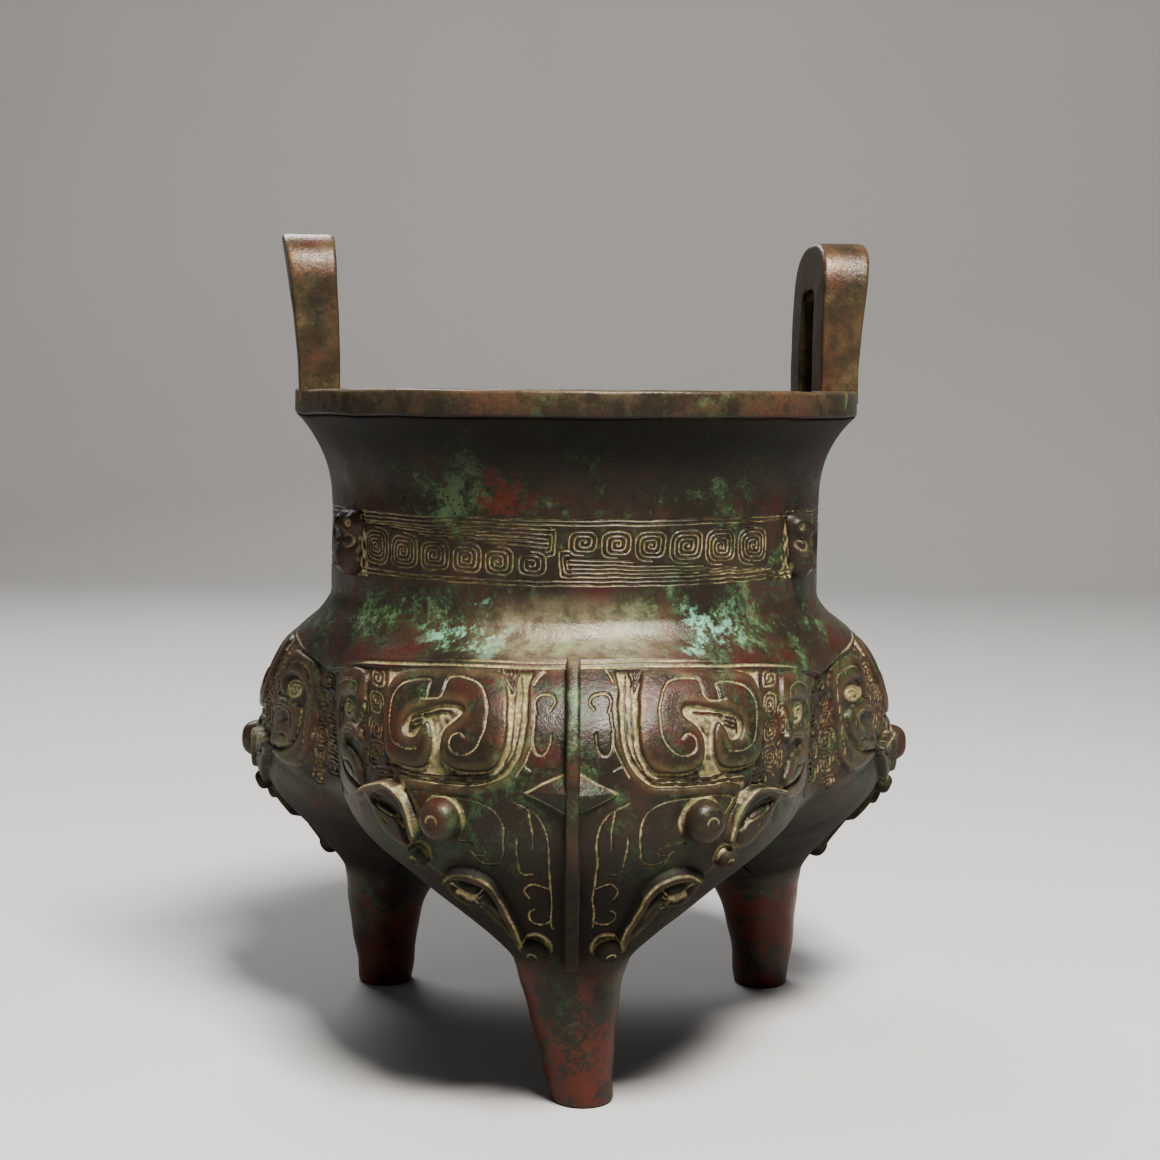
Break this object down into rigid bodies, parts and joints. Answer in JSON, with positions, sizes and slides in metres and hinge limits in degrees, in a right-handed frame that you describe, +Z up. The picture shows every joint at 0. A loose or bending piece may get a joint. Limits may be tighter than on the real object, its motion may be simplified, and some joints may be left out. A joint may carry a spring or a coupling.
{
  "type": "tripod incense burner",
  "caption": "Cast bronze incense burner: round neck with a flared lip and upright loop handles, over a lobed body on tapering legs with horned masks in relief.",
  "frame": {"origin": "on the ground, under the middle of the outline seen from above", "axes": "+Z up along the vessel's axis, -Y towards the front leg, the handles stand towards +X and -X"},
  "size_m": [0.1768, 0.1638, 0.2008],
  "materials": {
    "bronze": "old cast bronze, dark brown with green and red-brown patina, waxed to a satin gloss, with pale deposit in the recesses"
  },
  "bodies": {
    "root": {"incense_burner": "bronze"}
  },
  "joints": []
}
